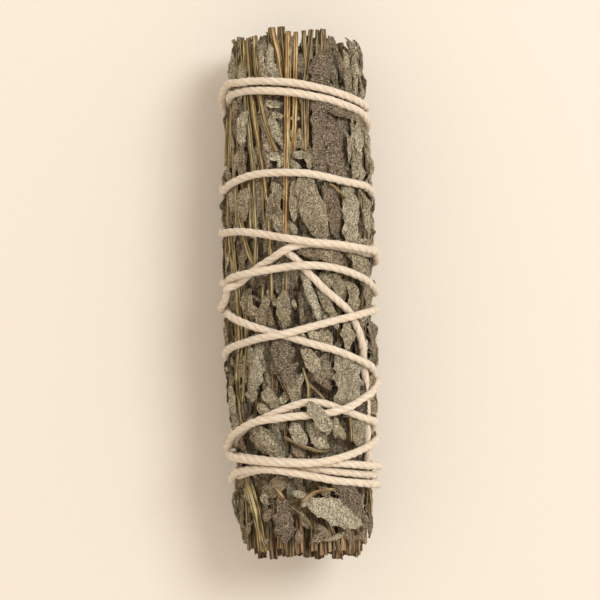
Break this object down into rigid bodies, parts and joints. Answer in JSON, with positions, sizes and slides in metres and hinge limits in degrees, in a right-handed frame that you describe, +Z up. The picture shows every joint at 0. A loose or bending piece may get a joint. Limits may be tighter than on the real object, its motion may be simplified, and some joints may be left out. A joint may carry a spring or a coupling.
{
  "type": "sage bunch",
  "caption": "Small bundle of dried sage leaves and cut stems that lies on its side, wound tightly with a soft twisted cotton cord.",
  "frame": {"origin": "centre of the bounding box's lower face, on the surface that the bundle lies on", "axes": "+Z up, +Y along the bundle towards the end with the longer bare stems, +X to the right of the picture"},
  "size_m": [0.0327, 0.1054, 0.031],
  "materials": {
    "sage_leaf": "felted grey-green dried leaf, pebbled and matt",
    "brown_leaf": "felted brown dried leaf, matt",
    "bare_stem": "ribbed straw-coloured to olive dried stem",
    "cotton_cord": "soft twisted cream cotton"
  },
  "bodies": {
    "root": {"binding_cord": "cotton_cord", "brown_leaf_low": "brown_leaf", "brown_leaf_middle": "brown_leaf", "brown_leaf_ragged": "brown_leaf", "brown_leaf_top": "brown_leaf", "brown_leaf_upper": "brown_leaf", "brown_stem_upper": "bare_stem", "leafy_sprig_1": "sage_leaf", "leafy_sprig_2": "sage_leaf", "leafy_sprig_3": "sage_leaf", "leafy_sprig_4": "sage_leaf", "leafy_sprig_5": "sage_leaf", "leafy_sprig_6": "sage_leaf", "leafy_sprig_7": "sage_leaf", "leafy_sprig_8": "sage_leaf", "olive_stem_left": "bare_stem", "olive_stem_long": "bare_stem", "olive_stem_low": "bare_stem", "straw_stem_bent": "bare_stem", "straw_stem_edge": "bare_stem", "straw_stem_inner": "bare_stem", "straw_stem_middle": "bare_stem", "straw_stem_right": "bare_stem", "straw_stem_short": "bare_stem", "straw_stem_slanting": "bare_stem", "straw_stem_thick": "bare_stem"}
  },
  "joints": []
}
